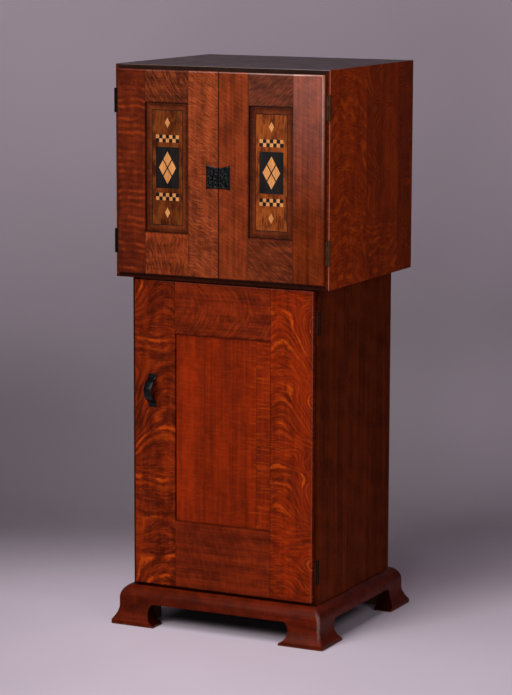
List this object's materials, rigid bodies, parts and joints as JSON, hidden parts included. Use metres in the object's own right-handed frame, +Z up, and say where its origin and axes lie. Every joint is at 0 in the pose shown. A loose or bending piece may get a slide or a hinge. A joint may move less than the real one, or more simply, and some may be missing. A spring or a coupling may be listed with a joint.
{
  "type": "icebox cabinet",
  "caption": "Two-stage oak icebox on a moulded plinth: zinc-lined ice chamber behind inlaid twin doors over a shelved food chamber behind one panelled door.",
  "frame": {"origin": "on the floor under the middle of the plinth", "axes": "+Z up, the doors face -Y, +X to the right of someone facing the doors"},
  "size_m": [0.512, 0.469, 1.225],
  "materials": {
    "oak_plinth": "dark red-brown quartersawn oak, polished",
    "oak_lower_case": "very dark red-brown quartersawn oak, polished",
    "oak_upper_case": "dark brown quartersawn oak, polished",
    "oak_back": "plain unpolished oak",
    "oak_upper_door": "brown quartersawn oak with ray flake, polished",
    "oak_lower_door": "orange-brown quartersawn oak with bold ray flake, polished",
    "walnut_panel": "figured brown veneer, polished",
    "ebony": "black stained inlay, polished",
    "maple": "light inlay, polished",
    "ash_plain": "plain pale wood",
    "cork": "pressed cork slab",
    "zinc": "dull zinc sheet",
    "felt": "dark wool felt",
    "tinned_wire": "tinned wire",
    "black_iron": "black hammered iron",
    "old_brass": "aged brass",
    "bright_steel": "bright steel"
  },
  "bodies": {
    "cabinet": {"plinth_front": "oak_plinth", "plinth_back": "oak_plinth", "plinth_sides": "oak_plinth", "corner_blocks": "ash_plain", "lower_left_side": "oak_lower_case", "lower_right_side": "oak_lower_case", "lower_floor": "oak_lower_case", "lower_top": "oak_lower_case", "lower_back": "oak_back", "upper_left_side": "oak_upper_case", "upper_right_side": "oak_upper_case", "upper_floor": "oak_upper_case", "upper_top": "oak_upper_case", "upper_back": "oak_back", "cork_slabs": "cork", "ice_liner": "zinc", "food_liner": "zinc", "door_seals": "felt", "ice_rack": "ash_plain", "drain_pipe": "zinc", "drip_pan": "zinc", "shelf_cleats": "zinc", "low_shelf": "tinned_wire", "high_shelf": "tinned_wire", "case_hinge_leaves": "black_iron", "hinge_pins": "black_iron", "case_screws": "black_iron"},
    "left_door": {"left_door_hinge_stile": "oak_upper_door", "left_door_meeting_stile": "oak_upper_door", "left_door_top_rail": "oak_upper_door", "left_door_bottom_rail": "oak_upper_door", "left_door_panel": "walnut_panel", "left_dark_inlay": "ebony", "left_light_inlay": "maple", "left_latch_plate": "black_iron", "left_hinge_leaves": "black_iron", "left_door_fixings": "black_iron"},
    "right_door": {"right_door_hinge_stile": "oak_upper_door", "right_door_meeting_stile": "oak_upper_door", "right_door_top_rail": "oak_upper_door", "right_door_bottom_rail": "oak_upper_door", "right_door_panel": "walnut_panel", "right_dark_inlay": "ebony", "right_light_inlay": "maple", "right_latch_plate": "black_iron", "right_hinge_leaves": "black_iron", "right_door_fixings": "black_iron", "lock_case": "old_brass"},
    "lower_door": {"lower_door_hinge_stile": "oak_lower_door", "lower_door_free_stile": "oak_lower_door", "lower_door_top_rail": "oak_lower_door", "lower_door_bottom_rail": "oak_lower_door", "lower_door_panel": "oak_lower_door", "lower_hinge_leaves": "black_iron", "lower_door_fixings": "black_iron", "pull_handle": "black_iron", "catch_barrel": "old_brass"},
    "flush_bolt": {"flush_bolt": "old_brass"},
    "lock_bolt": {"lock_bolt": "old_brass"},
    "catch_ball": {"catch_ball": "bright_steel"}
  },
  "joints": [
    {"name": "left_door_hinge", "type": "hinge", "parent": "cabinet", "child": "left_door", "pos_m": [-0.253, -0.2065, 0.996], "axis": [0, 0, -1], "range_deg": [0, 180]},
    {"name": "right_door_hinge", "type": "hinge", "parent": "cabinet", "child": "right_door", "pos_m": [0.253, -0.2065, 0.996], "axis": [0, 0, 1], "range_deg": [0, 180]},
    {"name": "lower_door_hinge", "type": "hinge", "parent": "cabinet", "child": "lower_door", "pos_m": [0.223, -0.1865, 0.426], "axis": [0, 0, 1], "range_deg": [0, 180]},
    {"name": "lock_bolt_slide", "type": "slide", "parent": "right_door", "child": "lock_bolt", "axis": [-1, 0, 0], "range_m": [0, 0.008]},
    {"name": "flush_bolt_slide", "type": "slide", "parent": "left_door", "child": "flush_bolt", "axis": [0, 0, -1], "range_m": [0, 0.009]},
    {"name": "catch_ball_press", "type": "slide", "parent": "lower_door", "child": "catch_ball", "axis": [1, 0, 0], "range_m": [0, 0.0022], "stiffness_N_per_m": 300, "springref_m": -0.001}
  ]
}
